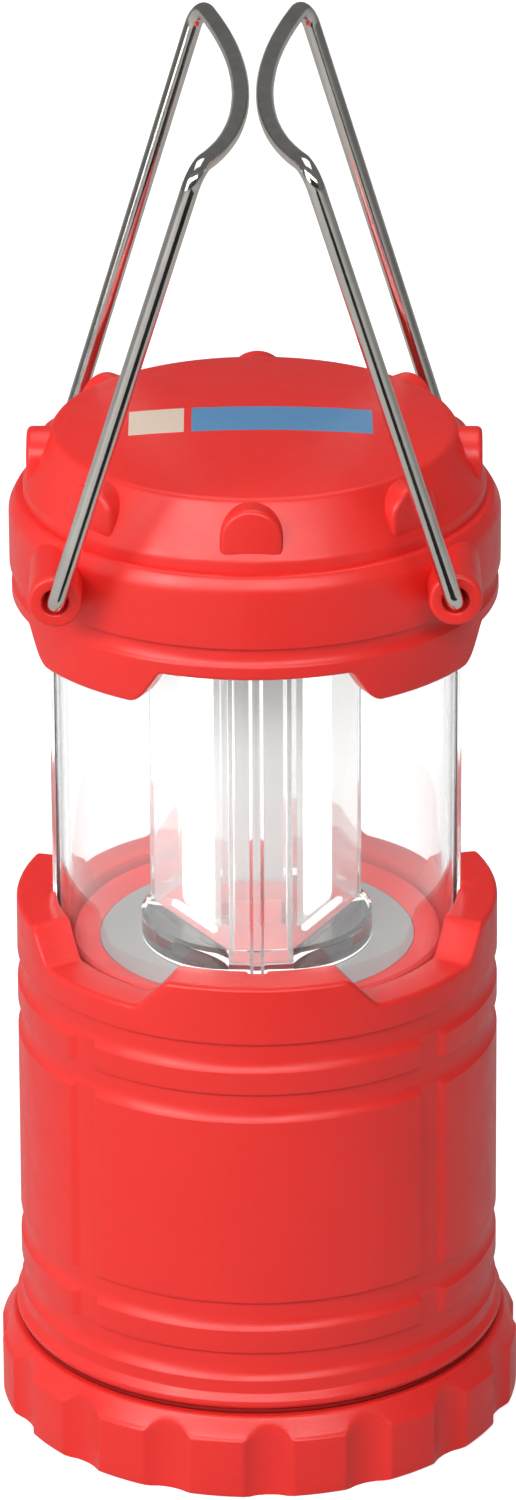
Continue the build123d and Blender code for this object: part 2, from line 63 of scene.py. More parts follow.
# head
SKIRT_RECESS, SKIRT_LOW, SKIRT_R, SKIRT_IN_R = 94.4, 90.65, 25.85, 22.4
BAND_R, BAND_TOP, BAND_LEDGE, BAND_THROAT_R = 26.05, 105.8, 98.6, 21.2
EYELET_X, EYELET_Z, EYELET_R, EYELET_HOLE_R, EYELET_FACE_Y = 20.6, 102.4, 2.8, 1.4, 23.7
DOME_TOP, DOME_RISE, DOME_RIDGE_R = 114.3, 1.5, 21.15
LUGS, LUG_PHASE, LUG_HALF, LUG_LOW, LUG_TOP = 8, -0.9, 3.25, 107.4, 112.55

# lens tube, light column and clear foot
LENS_R, LENS_IN_R, LENS_LOW, LENS_TOP, LENS_FLANGE_R = 21.3, 20.3, 50.2, 98.5, 24.0
COLUMN_AZIMUTHS = (-148, -28, 92)
COLUMN_FACE, COLUMN_CORNER, COLUMN_WALL = 8.55, 11.45, 0.8
COLUMN_LOW, COLUMN_TOP = 55.8, 97
SHELF_IN, SHELF_OUT, SHELF_HALF, SHELF_LOW, SHELF_TOP = 7.12, 7.68, 4.3, 57.85, 58.45
FOOT_R, FOOT_LOW = 12.3, 54.66

# bails
WIRE_R = 0.925
BAIL_Y, BAIL_TOP_Y, BAIL_BULGE = 24.75, 27.2, 4.55
BAIL_RISE = (15.0, 0, 48.2)
BAIL_END = 7


def off_nearest(theta, centres):
    """Signed degrees from theta to the nearest of some angles."""
    gaps = [(theta - c + 180) % 360 - 180 for c in centres]
    return min(gaps, key=abs)


def soft_positive(x, w):
    """x above zero and 0 below it, rounded over +-w."""
    if x <= -w:
        return 0.0
    if x >= w:
        return x
    return (x + w) ** 2 / (4 * w)


def soft_ramp(t, w):
    """A straight ramp from 0 to 1 with rounded ends."""
    return soft_positive(t, w) - soft_positive(t - 1, w)


def soft_min(a, b, w):
    """The smaller of two lengths, blended over w."""
    h = max(0.0, min(1.0, 0.5 + 0.5 * (b - a) / w))
    return b * (1 - h) + a * h - w * h * (1 - h)


def rounded(corners, steps=4):
    """Points of a closed outline whose corners (x, y, radius) are rounded."""
    out = []
    count = len(corners)
    for i, (x, y, r) in enumerate(corners):
        if r <= 0:
            out.append((x, y))
            continue
        px, py = corners[i - 1][:2]
        nx, ny = corners[(i + 1) % count][:2]
        ax, ay, bx, by = px - x, py - y, nx - x, ny - y
        la, lb = hypot(ax, ay), hypot(bx, by)
        ax, ay, bx, by = ax / la, ay / la, bx / lb, by / lb
        half = acos(max(-1, min(1, ax * bx + ay * by))) / 2
        cut = min(r / tan(half), la * 0.49, lb * 0.49)
        for s in range(steps + 1):
            t = s / steps
            # a quadratic curve is close to an arc for these small corners
            wa, wb = (1 - t) ** 2, t ** 2
            out.append((x + ax * cut * wa + bx * cut * wb, y + ay * cut * wa + by * cut * wb))
    return out


def make_object(name, verts, faces, material, sharp=40.0):
    """A mesh object from points in mm, smooth-shaded except at sharp edges."""
    mesh = bpy.data.meshes.new(name)
    mesh.from_pydata([(x * MM, y * MM, z * MM) for x, y, z in verts], [], faces)
    mesh.validate()
    mesh.shade_smooth()
    mesh.set_sharp_from_angle(angle=radians(sharp))
    mesh.materials.append(material)
    piece = bpy.data.objects.new(name, mesh)
    scene.collection.objects.link(piece)
    return piece


def add_lathe(verts, faces, profile, segments, closed=True):
    """Adds a turned surface to verts and faces. profile(theta) gives (radius, height) points."""
    start = len(verts)
    rows = 0
    for i in range(segments):
        theta = 360 * i / segments
        points = profile(theta)
        rows = len(points)
        c, s = cos(radians(theta)), sin(radians(theta))
        for r, z in points:
            verts.append((r * c, r * s, z))
    last = rows if closed else rows - 1
    for i in range(segments):
        j = (i + 1) % segments
        a, b = start + i * rows, start + j * rows
        for k in range(last):
            m = (k + 1) % rows
            faces.append((a + k, b + k, b + m, a + m))


def add_prism(verts, faces, outline, rows, place):
    """Adds a closed solid made of scaled copies of an outline. rows are (inset, depth)."""
    start = len(verts)
    count = len(outline)
    cx = sum(p[0] for p in outline) / count
    cy = sum(p[1] for p in outline) / count
    for inset, depth in rows:
        for x, y in outline:
            d = hypot(x - cx, y - cy)
            k = max(0.0, 1 - inset / d)
            verts.append(place(cx + (x - cx) * k, cy + (y - cy) * k, depth))
    for k in range(len(rows) - 1):
        for i in range(count):
            j = (i + 1) % count
            a, b = start + k * count, start + (k + 1) * count
            faces.append((a + i, a + j, b + j, b + i))
    faces.append(tuple(start + i for i in reversed(range(count))))
    top = start + (len(rows) - 1) * count
    faces.append(tuple(top + i for i in range(count)))


def add_wire(verts, faces, path, radius, sides=20):
    """Adds a round wire along a path, with domed ends."""
    start = len(verts)
    points = [Vector(p) for p in path]
    tangents = []
    for i, p in enumerate(points):
        a = points[max(i - 1, 0)]
        b = points[min(i + 1, len(points) - 1)]
        tangents.append((b - a).normalized())
    normal = tangents[0].orthogonal().normalized()
    rings = []
    for i, p in enumerate(points):
        if i:
            turn = tangents[i - 1].rotation_difference(tangents[i])
            normal = (turn @ normal).normalized()
        side = tangents[i].cross(normal)
        rings.append((p, normal, side, radius))

    def domed(ring, outward, shares):
        """Smaller rings past an end. Shares of the radius are (distance, size)."""
        p, n, s, r = ring
        return [(p + outward * r * distance, n, s, r * size) for distance, size in shares]

    dome = ((0.25, 0.88), (0.45, 0.55))
    rings = domed(rings[0], -tangents[0], reversed(dome)) + rings + domed(rings[-1], tangents[-1], dome)
    for p, n, s, r in rings:
        for k in range(sides):
            a = 2 * pi * k / sides
            verts.append(tuple(p + n * (r * cos(a)) + s * (r * sin(a))))
    for i in range(len(rings) - 1):
        for k in range(sides):
            m = (k + 1) % sides
            a, b = start + i * sides, start + (i + 1) * sides
            faces.append((a + k, a + m, b + m, b + k))
    faces.append(tuple(start + k for k in reversed(range(sides))))
    end = start + (len(rings) - 1) * sides
    faces.append(tuple(end + k for k in range(sides)))


# ---------------------------------------------------------------- materials
PLASTIC_IOR = 1.49


def new_material(name):
    """A material with its node tree and its principled shader."""
    material = bpy.data.materials.new(name)
    material.use_nodes = True
    tree = material.node_tree
    return material, tree, tree.nodes["Principled BSDF"]


def noise(tree, scale, detail=2.0, roughness=0.5, stretch=None):
    """A noise texture in object space. Scale is in features per metre."""
    coords = tree.nodes.new("ShaderNodeTexCoord")
    texture = tree.nodes.new("ShaderNodeTexNoise")
    texture.inputs["Scale"].default_value = scale
    texture.inputs["Detail"].default_value = detail
    texture.inputs["Roughness"].default_value = roughness
    source = coords.outputs["Object"]
    if stretch:
        mapping = tree.nodes.new("ShaderNodeMapping")
        mapping.inputs["Scale"].default_value = stretch
        tree.links.new(source, mapping.inputs["Vector"])
        source = mapping.outputs["Vector"]
    tree.links.new(source, texture.inputs["Vector"])
    return texture.outputs["Fac"]


def remap(tree, source, low, high, from_low=0.3, from_high=0.7):
    """A value moved from one range to another and held inside it."""
    node = tree.nodes.new("ShaderNodeMapRange")
    node.inputs["From Min"].default_value = from_low
    node.inputs["From Max"].default_value = from_high
    node.inputs["To Min"].default_value = low
    node.inputs["To Max"].default_value = high
    tree.links.new(source, node.inputs["Value"])
    return node.outputs["Result"]


def mix_colour(tree, factor, a, b):
    """Colour a where the factor is 0 and b where it is 1."""
    node = tree.nodes.new("ShaderNodeMix")
    node.data_type = "RGBA"
    node.inputs["A"].default_value = (*a, 1)
    node.inputs["B"].default_value = (*b, 1)
    tree.links.new(factor, node.inputs["Factor"])
    return node.outputs["Result"]


def bump(tree, height, distance, strength=1.0, under=None):
    """Bumps of a height in metres, on top of another bump if there is one."""
    node = tree.nodes.new("ShaderNodeBump")
    node.inputs["Distance"].default_value = distance
    node.inputs["Strength"].default_value = strength
    tree.links.new(height, node.inputs["Height"])
    if under:
        tree.links.new(under, node.inputs["Normal"])
    return node.outputs["Normal"]


def moulded(name, colour, deeper, roughness, grain=0.000012, spread=0.06, specular=0.5):
    """Moulded plastic: cloudy colour, uneven gloss and a fine spark-eroded grain."""
    material, tree, bsdf = new_material(name)
    clouds = remap(tree, noise(tree, 60, 3), 0, 1)
    tree.links.new(mix_colour(tree, clouds, colour, deeper), bsdf.inputs["Base Color"])
    gloss = remap(tree, noise(tree, 240, 4, 0.6), roughness - spread, roughness + spread)
    tree.links.new(gloss, bsdf.inputs["Roughness"])
    fine = bump(tree, noise(tree, 5200, 2, 0.6), grain)
    slow = bump(tree, noise(tree, 130, 2), 0.00003, 0.4, fine)
    tree.links.new(slow, bsdf.inputs["Normal"])
    bsdf.inputs["Specular IOR Level"].default_value = specular
    return material


def bar_mask(tree, x_low, x_high, y_low, y_high, z_low=113.0, edge_blur=0.02):
    """1 inside a rectangle seen from above, in mm, and 0 outside it or below z_low."""
    coords = tree.nodes.new("ShaderNodeTexCoord")
    split = tree.nodes.new("ShaderNodeSeparateXYZ")
    tree.links.new(coords.outputs["Object"], split.inputs["Vector"])
    result = None
    sides = (("X", x_low, 1), ("X", x_high, -1), ("Y", y_low, 1), ("Y", y_high, -1), ("Z", z_low, 1))
    for axis, edge, sign in sides:
        blur = edge_blur * MM * sign
        value = remap(tree, split.outputs[axis], 0, 1, edge * MM - blur, edge * MM + blur)
        if result:
            node = tree.nodes.new("ShaderNodeMath")
            node.operation = "MULTIPLY"
            tree.links.new(result, node.inputs[0])
            tree.links.new(value, node.inputs[1])
            value = node.outputs["Value"]
        result = value
    return result


def printed(material, colour, *edges):
    """Adds a plain printed bar to a moulded material."""
    tree = material.node_tree
    bsdf = tree.nodes["Principled BSDF"]
    below = bsdf.inputs["Base Color"].links[0].from_socket
    node = tree.nodes.new("ShaderNodeMix")
    node.data_type = "RGBA"
    tree.links.new(bar_mask(tree, *edges), node.inputs["Factor"])
    tree.links.new(below, node.inputs["A"])
    node.inputs["B"].default_value = (*colour, 1)
    tree.links.new(node.outputs["Result"], bsdf.inputs["Base Color"])


def metal(name, colour, roughness, streaks=(1, 1, 1), spread=0.05):
    """Bare or plated metal with drawn streaks."""
    material, tree, bsdf = new_material(name)
    bsdf.inputs["Metallic"].default_value = 1.0
    worn = remap(tree, noise(tree, 400, 4, 0.6, streaks), 0, 1)
    darker = tuple(c * 0.82 for c in colour)
    tree.links.new(mix_colour(tree, worn, colour, darker), bsdf.inputs["Base Color"])
    gloss = remap(tree, noise(tree, 900, 3, 0.6, streaks), roughness - spread, roughness + spread)
    tree.links.new(gloss, bsdf.inputs["Roughness"])
    tree.links.new(bump(tree, noise(tree, 3000, 2, 0.5, streaks), 0.000004), bsdf.inputs["Normal"])
    return material


def clear(name, tint, roughness, ripple, clarity=1.0):
    """Clear plastic, a little milky if clarity is below 1, that lets lamps through."""
    material, tree, bsdf = new_material(name)
    bsdf.inputs["Transmission Weight"].default_value = clarity
    bsdf.inputs["IOR"].default_value = PLASTIC_IOR
    bsdf.inputs["Base Color"].default_value = (*tint, 1)
    haze = remap(tree, noise(tree, 300, 3), max(0.0, roughness - 0.02), roughness + 0.02)
    tree.links.new(haze, bsdf.inputs["Roughness"])
    tree.links.new(bump(tree, noise(tree, 45, 2), ripple), bsdf.inputs["Normal"])
    path = tree.nodes.new("ShaderNodeLightPath")
    through = tree.nodes.new("ShaderNodeBsdfTransparent")
    mix = tree.nodes.new("ShaderNodeMixShader")
    tree.links.new(path.outputs["Is Shadow Ray"], mix.inputs["Fac"])
    tree.links.new(bsdf.outputs["BSDF"], mix.inputs[1])
    tree.links.new(through.outputs["BSDF"], mix.inputs[2])
    tree.links.new(mix.outputs["Shader"], tree.nodes["Material Output"].inputs["Surface"])
    return material


def painted_glow_clear(name):
    """Clear plastic with a painted glow: its emission stands in for the strips' light caught at its edges.
    """
    material, tree, bsdf = new_material(name)
    bsdf.inputs["Base Color"].default_value = (0.95, 0.95, 0.95, 1)
    streaks = remap(tree, noise(tree, 900, 3, 0.6), 0.02, 0.12)
    tree.links.new(streaks, bsdf.inputs["Roughness"])
    bsdf.inputs["Transmission Weight"].default_value = 0.5
    bsdf.inputs["IOR"].default_value = PLASTIC_IOR
    # painted glow: this emission stands in for light from the strips, since the plastic is no lamp
    bsdf.inputs["Emission Color"].default_value = (1.0, 0.99, 0.95, 1)
    bsdf.inputs["Emission Strength"].default_value = 0.45
    return material


def glowing(name, colour, strength):
    """A light strip: phosphor with faint chip spots under the coating."""
    material, tree, bsdf = new_material(name)
    bsdf.inputs["Base Color"].default_value = (*colour, 1)
    bsdf.inputs["Roughness"].default_value = 0.35
    spots = remap(tree, noise(tree, 500, 2), 0, 1)
    warm = tuple(c * k for c, k in zip(colour, (1.0, 0.96, 0.86)))
    tree.links.new(mix_colour(tree, spots, colour, warm), bsdf.inputs["Emission Color"])
    bsdf.inputs["Emission Strength"].default_value = strength
    return material


RED_COLOUR, RED_DEEPER = (0.81, 0.026, 0.020), (0.77, 0.022, 0.018)
RED = moulded("red_abs", RED_COLOUR, RED_DEEPER, 0.36, specular=0.5)
DOME = moulded("red_dome", RED_COLOUR, RED_DEEPER, 0.36, specular=0.5)
BAR_FRONT, BAR_BACK = -5.0, 1.8
printed(DOME, (0.72, 0.57, 0.46), -13.2, -7.4, BAR_FRONT, BAR_BACK)
printed(DOME, (0.10, 0.26, 0.48), -6.6, 12.4, BAR_FRONT, BAR_BACK)
RED_INNER = moulded("red_inner", (0.76, 0.03, 0.03), (0.68, 0.025, 0.025), 0.45)
NICKEL = metal("nickel_wire", (0.80, 0.77, 0.72), 0.13, (1, 1, 0.12))
LENS = clear("lens_plastic", (0.985, 0.985, 0.985), 0.02, 0.00002, 0.97)
COLUMN = clear("column_plastic", (0.97, 0.97, 0.97), 0.03, 0.00004, 0.85)
# clear plastic with a painted glow, for the strips' light caught at its edges
PAINTED_GLOW_CLEAR = painted_glow_clear("painted_glow_plastic")
FOOT = clear("foot_plastic", (0.97, 0.97, 0.97), 0.02, 0.00003)
GLOW = glowing("light_strip", (1.0, 0.985, 0.94), 1.6)
BOARD = moulded("board_coating", (0.50, 0.50, 0.49), (0.42, 0.42, 0.41), 0.35)
DISC = moulded("reflector_disc", (0.30, 0.30, 0.30), (0.28, 0.28, 0.28), 0.42, spread=0.03)
BRASS = metal("contact_metal", (0.80, 0.66, 0.38), 0.28)
STEEL = metal("spring_steel", (0.66, 0.66, 0.67), 0.25)
RUBBER = moulded("seal_rubber", (0.26, 0.008, 0.007), (0.22, 0.007, 0.006), 0.7, specular=0.15)
CELL = metal("cell_jacket", (0.08, 0.26, 0.22), 0.35)
WHITE = moulded("white_plastic", (0.86, 0.86, 0.84), (0.80, 0.80, 0.78), 0.4)
CIRCUIT = moulded("circuit_board", (0.03, 0.22, 0.10), (0.02, 0.16, 0.08), 0.4)
DARK = moulded("dark_parts", (0.03, 0.03, 0.03), (0.02, 0.02, 0.02), 0.5)

NODE_MATERIALS = {
    "body_shell": RED, "base_cap": RED, "head_cap": RED, "head_band": RED,
    "battery_cage": RED_INNER, "guide_post": RED_INNER, "battery_deck": RED_INNER,
    "base_gasket": RUBBER, "contact_disc": BRASS, "contact_rails": BRASS, "top_contact_plate": BRASS,
    "cell_springs": STEEL, "body_screws": STEEL, "head_screws": STEEL, "brush_springs": STEEL,
    "reflector_disc": DISC, "light_collar": FOOT, "lens": LENS, "light_column": COLUMN,
    "aaa_cell_1": CELL, "aaa_cell_2": CELL, "aaa_cell_3": CELL,
    "cob_board_1": BOARD, "cob_board_2": BOARD, "cob_board_3": BOARD,
    "cob_strip_1": GLOW, "cob_strip_2": GLOW, "cob_strip_3": GLOW,
    "brush_carrier": RED_INNER, "top_reflector": WHITE, "driver_board": CIRCUIT, "driver_parts": DARK,
    "bail_left": NICKEL, "bail_right": NICKEL,
}


def dress_cad():
    """Gives every CAD node its material."""
    for name, obj in nodes.items():
        obj.data.materials.clear()
        obj.data.materials.append(NODE_MATERIALS[name])


# ---------------------------------------------------------------- body shell
def crown_height(theta):
    """Top of the crown: four tabs with sloping, rounded ends."""
    tab_half, slope = 22.15, 7.35
    away = abs(off_nearest(theta, TABS))
    return CROWN_TOP - (CROWN_TOP - CROWN_FLOOR) * soft_ramp((away - tab_half) / slope, 0.18)


def skirt_height(theta):
    """Lower edge of the head's skirt: four tabs with sloping ends and well-rounded corners."""
    gap_half, slope = 23.0, 5.9
    along = (abs(off_nearest(theta, TABS)) - gap_half) / slope
    drop = soft_positive(along, 0.14) - soft_positive(along - 1, 0.42)
    return SKIRT_RECESS - (SKIRT_RECESS - SKIRT_LOW) * drop


def shell_radius(z):
    """Straight taper of the shell with its bead at the bottom."""
    r = BODY_LOW_R - (BODY_LOW_R - BODY_TOP_R) * (z - BODY_TAPER_LOW) / BODY_TAPER
    return r + BEAD_OUT * soft_ramp((11.6 - z) / 0.82, 0.1)


def channel_depth(theta, z):
    """Shallow upright channels through the grooved band, sharp on the side of the front and back."""
    across = (abs(off_nearest(theta, (90, 270))) - CHANNEL_ANGLE) * radians(1) * 26.1
    edge = min(soft_ramp((across + 1.87) / 0.12, 0.3), soft_ramp((1.95 - across) / 0.8, 0.25))
    ends = soft_ramp((52.4 - z) / 0.5, 0.3) * soft_ramp((z - 13.4) / 0.5, 0.3)
    return CHANNEL_DEPTH * edge * ends


def shell_rows():
    """Rows (height, groove depth) of the outer wall, dense in the grooves."""
    rows = [(55.0, 0), (54.2, 0), (53.6, 0), (53.3, 0)]
    for top, low in GROOVES:
        rows += [(top + dz, depth) for dz, depth in GROOVE_EDGE]
        rows += [(top - 0.5, GROOVE_DEPTH), (top - 1.1, GROOVE_DEPTH)]
        for k in range(9):
            a = radians(COVE_ANGLE * k / 8)
            z = low + COVE_R * (sin(radians(COVE_ANGLE)) - sin(a))
            rows.append((z, max(0, GROOVE_DEPTH - COVE_R * (1 - cos(a)))))
        rows.append((low - 0.08, 0))
    panel = [(z, 0) for z in (43.0, 40, 33, 27, 22.9)]
    bead = [(z, 0) for z in (12.6, 12.0, 11.72, 11.62, 11.5, 11.3, 11.1, 10.9, 10.82, 10.75, 10.62, 10.45)]
    return sorted(rows + panel + bead, key=lambda row: -row[0])


SHELL_ROWS = shell_rows()


def shell_profile(theta):
    """Outline of the shell's wall from the lip inside, over the crown and down to the neck."""
    top = crown_height(theta)
    rib = soft_ramp((1.15 - abs(off_nearest(theta, TABS)) * radians(1) * LIP_IN_R) / 0.25, 0.3)
    inner = LIP_IN_R + 0.65 * rib
    share = (top - CROWN_FLOOR) / (CROWN_TOP - CROWN_FLOOR)
    fall, low_edge = 0.2 * share, 0.55
    points = [(inner, LIP_LOW), (inner, LIP_LOW + 2), (inner, top - 0.2)]
    points += [(inner + 0.06, top - 0.06), (inner + 0.2, top)]
    flat = BODY_TOP_R - low_edge
    points.append(((inner + flat) / 2, top - fall * 0.5))
    points.append((flat, top - fall))
    for k in range(1, 7):
        a = k / 6 * pi / 2
        points.append((flat + low_edge * sin(a), top - fall - low_edge * (1 - cos(a))))
    for z, depth in SHELL_ROWS:
        points.append((shell_radius(z) - max(depth, channel_depth(theta, z)), z))
    points += [(26.76, 10.25), (26.66, 10.05), (26.5, 9.9), (26.35, BODY_LOW), (NECK_R, BODY_LOW)]
    points += [(NECK_R, NECK_LOW + 0.15), (NECK_R - 0.15, NECK_LOW)]
    return points + [(BODY_IN_R, NECK_LOW), (BODY_IN_R, LIP_LOW)]


def add_thread(verts, faces, radius, low, inward):
    """Adds one turn of thread ridge, tapering to nothing at both ends."""
    start = len(verts)
    steps = 96
    for i in range(steps + 1):
        a = 2 * pi * i / steps
        grow = min(1, i / 8, (steps - i) / 8)
        tip = radius + (-0.5 if inward else 0.5) * grow
        root = radius + (0.15 if inward else -0.15)
        z = low + THREAD_RISE * i / steps
        for r, dz in ((root, -0.65), (tip, -0.15), (tip, 0.15), (root, 0.65)):
            verts.append((r * cos(a), r * sin(a), z + dz))
    for i in range(steps):
        a, b = start + 4 * i, start + 4 * (i + 1)
        for k in range(4):
            m = (k + 1) % 4
            faces.append((a + k, b + k, b + m, a + m))
    faces.append((start, start + 1, start + 2, start + 3))
    end = start + 4 * steps
    faces.append((end + 3, end + 2, end + 1, end))


def build_shell():
    verts, faces = [], []
    add_lathe(verts, faces, shell_profile, 720)
    add_thread(verts, faces, NECK_R, 5.2, False)
    piece = make_object("shell", verts, faces, RED, 38)
    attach(piece, "body")
    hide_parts("body_shell")


# ---------------------------------------------------------------- base cap
FLUTE_ANGLES = [FLUTE_PHASE + 360 / FLUTES * i - 90 for i in range(FLUTES)]


def flute_radius(theta):
    """Distance from the axis to the nearest flute's hollow."""
    away = radians(abs(off_nearest(theta, FLUTE_ANGLES)))
    inside = FLUTE_R ** 2 - (FLUTE_CENTRE_R * sin(away)) ** 2
    if inside <= 0:
        return FLUTE_CENTRE_R
    return FLUTE_CENTRE_R * cos(away) - sqrt(inside)


CAP_OUTER = [(0.02, 0.0), (20.0, 0.0), (27.8, 0.0), (28.2, 0.02), (28.45, 0.12), (28.57, 0.3), (CAP_R, 0.5)]
CAP_OUTER += [(CAP_R, 3.0), (CAP_R, 5.0), (CAP_R, 6.6), (28.57, 6.8), (28.48, 6.95), (28.34, 7.08)]
CAP_OUTER += [(28.2, 7.28), (27.98, 7.65), (27.7, 8.13), (27.42, 8.62), (27.26, 8.9), (27.18, 9.03)]
CAP_OUTER += [(27.07, 9.14), (26.9, CAP_RIM)]
CAP_INNER = [(CAP_BORE_R + 0.05, CAP_RIM), (CAP_BORE_R, CAP_RIM - 0.1), (CAP_BORE_R, CAP_FLOOR)]
for outer_r, inner_r in ((20.6, 19.4), (8.6, 7.4)):
    CAP_INNER += [(outer_r, CAP_FLOOR), (outer_r, CAP_RIB_TOP), (inner_r, CAP_RIB_TOP), (inner_r, CAP_FLOOR)]
CAP_INNER += [(0.02, CAP_FLOOR)]


def cap_profile(theta):
    """Outline of the base cap, cut back where a flute is."""
    flute = flute_radius(theta)
    points = []
    for r, z in CAP_OUTER:
        points.append((soft_min(r, flute, 0.12) if r > 26.5 else r, z))
    return points + CAP_INNER


def build_cap():
    verts, faces = [], []
    add_lathe(verts, faces, cap_profile, 960)
    add_thread(verts, faces, CAP_BORE_R, 3.6, True)
    for i in range(6):
        turn = radians(60 * i)
        c, s = cos(turn), sin(turn)
        place = lambda x, y, z, c=c, s=s: (x * c - y * s, x * s + y * c, z)
        outline = [(8.4, -0.6), (19.6, -0.6), (19.6, 0.6), (8.4, 0.6)]
        add_prism(verts, faces, outline, [(0, 1.9), (0, 5.15)], place)
    piece = make_object("base_cover", verts, faces, RED, 38)
    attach(piece, "cap")
    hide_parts("base_cap")


# ---------------------------------------------------------------- head
def band_profile(theta):
    """Outline of the head's ring, from its throat down the skirt and up the outside."""
    low = skirt_height(theta)
    share = (SKIRT_RECESS - low) / (SKIRT_RECESS - SKIRT_LOW)
    r_low = SKIRT_R - 0.15 * share
    points = [(SKIRT_IN_R, BAND_LEDGE), (SKIRT_IN_R, 97.0), (SKIRT_IN_R, low + 0.3)]
    points += [(22.52, low + 0.08), (22.75, low), (23.6, low)]
    round_r = 0.45
    points.append((r_low - round_r, low))
    for k in range(1, 6):
        a = k / 5 * pi / 2
        points.append((r_low - round_r * (1 - sin(a)), low + round_r * (1 - cos(a))))
    span = 95.75 - (low + round_r)
    for k in range(1, 7):
        z = low + round_r + span * k / 6
        points.append((r_low + (SKIRT_R - r_low) * k / 6, z))
    points += [(25.83, 95.86), (25.77, 95.96), (25.68, 96.08), (25.55, 96.28), (25.42, 96.6), (25.34, 97.0)]
    points += [(25.32, 97.35), (25.38, 97.65), (25.52, 97.86), (25.75, 97.96), (25.95, 98.0), (26.03, 98.05)]
    points += [(BAND_R, z) for z in (98.15, 99.5, 101.5, 103.6)]
    points += [(26.03, 104.05), (25.95, 104.4), (25.82, 104.7), (25.62, 105.1), (25.42, 105.45)]
    points += [(25.28, 105.66), (25.12, 105.77), (24.9, BAND_TOP), (BAND_THROAT_R, BAND_TOP)]
    points += [(BAND_THROAT_R, BAND_LEDGE)]
    return points


def add_eyelet(verts, faces, x, side):
    """A drilled boss that runs out of the band towards the front or back."""
    rows = [(EYELET_R, y) for y in (13.0, 18.0, 22.0, 23.25)]
    rows += [(2.74, 23.45), (2.62, 23.6), (2.45, 23.68), (2.3, EYELET_FACE_Y), (1.62, EYELET_FACE_Y)]
    rows += [(1.5, 23.67), (1.43, 23.6), (EYELET_HOLE_R, 23.5)]
    # the hole narrows out of sight, to a little less than the wire
    rows += [(1.3, 22.9), (0.85, 22.1), (0.82, 16.8)]
    start = len(verts)
    sides = 64
    for r, y in rows:
        for k in range(sides):
            a = 2 * pi * k / sides
            verts.append((x + r * cos(a), side * y, EYELET_Z + r * sin(a)))
    for i in range(len(rows) - 1):
        for k in range(sides):
            m = (k + 1) % sides
            a, b = start + i * sides, start + (i + 1) * sides
            faces.append((a + k, a + m, b + m, b + k) if side > 0 else (a + k, b + k, b + m, a + m))
    floor = start + (len(rows) - 1) * sides
    order = range(sides) if side > 0 else reversed(range(sides))
    faces.append(tuple(floor + k for k in order))
    order = reversed(range(sides)) if side > 0 else range(sides)
    faces.append(tuple(start + k for k in order))


def build_band():
    verts, faces = [], []
    add_lathe(verts, faces, band_profile, 720)
    for x in (-EYELET_X, EYELET_X):
        for side in (-1, 1):
            add_eyelet(verts, faces, x, side)
    piece = make_object("head_ring", verts, faces, RED, 38)
    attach(piece, "head")
    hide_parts("head_band")


def dome_height(radius):
    """Height of the domed top at a distance from the axis."""
    ball = (DOME_RIDGE_R ** 2 + DOME_RISE ** 2) / (2 * DOME_RISE)
    return DOME_TOP - ball + sqrt(ball ** 2 - radius ** 2)


def cap_top_profile(theta):
    """Outline of the head's cap: its dome, its sloping flank and its hollow underside."""
    points = [(0.02, DOME_TOP)] + [(r, dome_height(r)) for r in (3, 6, 9, 12, 15, 17.5, 19.4, 20.5)]
    points += [(20.9, 112.82), (21.12, 112.75), (21.31, 112.63), (21.47, 112.42), (21.62, 112.15)]
    points += [(21.83, 111.8), (22.45, 110.68), (23.27, 109.2), (24.05, 107.75), (24.38, 107.2)]
    points += [(24.47, 106.98), (24.5, 106.7), (24.5, BAND_TOP), (21.1, BAND_TOP), (21.1, 101.5)]
    return points + [(19.6, 101.5), (19.6, 110.9), (19.4, 111.2), (10, 112.3), (0.02, 112.7)]


def add_lug(verts, faces, angle):
    """One D-shaped grip lug with a softened face."""
    half, low, top = LUG_HALF, LUG_LOW, LUG_TOP
    centre = top - half
    outline = []
    for k in range(25):
        a = pi * k / 24
        outline.append((half * cos(a), centre + half * sin(a)))
    outline += [(-half, centre - 0.8), (-half, low + 0.6), (-half + 0.18, low + 0.18), (-half + 0.6, low)]
    outline += [(half - 0.6, low), (half - 0.18, low + 0.18), (half, low + 0.6), (half, centre - 0.8)]
    turn = radians(angle)
    out = Vector((cos(turn), sin(turn), 0))
    across = Vector((-sin(turn), cos(turn), 0))

    def place(x, z, depth):
        p = out * depth + across * x
        return (p.x, p.y, z)

    rows = [(0, 18.5), (0, 23.0), (0, 23.45), (0.05, 23.65), (0.16, 23.82), (0.33, 23.94), (0.55, 24.0)]
    add_prism(verts, faces, outline, rows, place)


def build_head_top():
    verts, faces = [], []
    add_lathe(verts, faces, cap_top_profile, 360)
    for i in range(LUGS):
        add_lug(verts, faces, 360 / LUGS * i + LUG_PHASE)
    piece = make_object("dome", verts, faces, DOME, 38)
    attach(piece, "head")
    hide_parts("head_cap")


def lens_profile(theta):
    """Outline of the clear tube's wall, with its four ribs and its flange at the bottom."""
    across = abs(off_nearest(theta, TABS)) * radians(1) * 21.6
    rib = 0.75 * soft_ramp((0.72 - across) / 0.28, 0.45)
    outer = LENS_R + rib
    points = [(LENS_IN_R, LENS_LOW), (LENS_FLANGE_R, LENS_LOW), (LENS_FLANGE_R, 52.9), (23.9, 52.94)]
    points += [(21.5, 52.94), (LENS_R, 53.15), (LENS_R, 53.4), (outer, 53.8), (outer, 70), (outer, 84)]
    points += [(outer, 96.6), (22.2, 97.1), (22.2, LENS_TOP), (LENS_IN_R, LENS_TOP), (LENS_IN_R, 84)]
    return points + [(LENS_IN_R, 70)]


def build_lens():
    verts, faces = [], []
    add_lathe(verts, faces, lens_profile, 720)
    piece = make_object("lens_tube", verts, faces, LENS, 30)
    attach(piece, "head")
    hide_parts("lens")


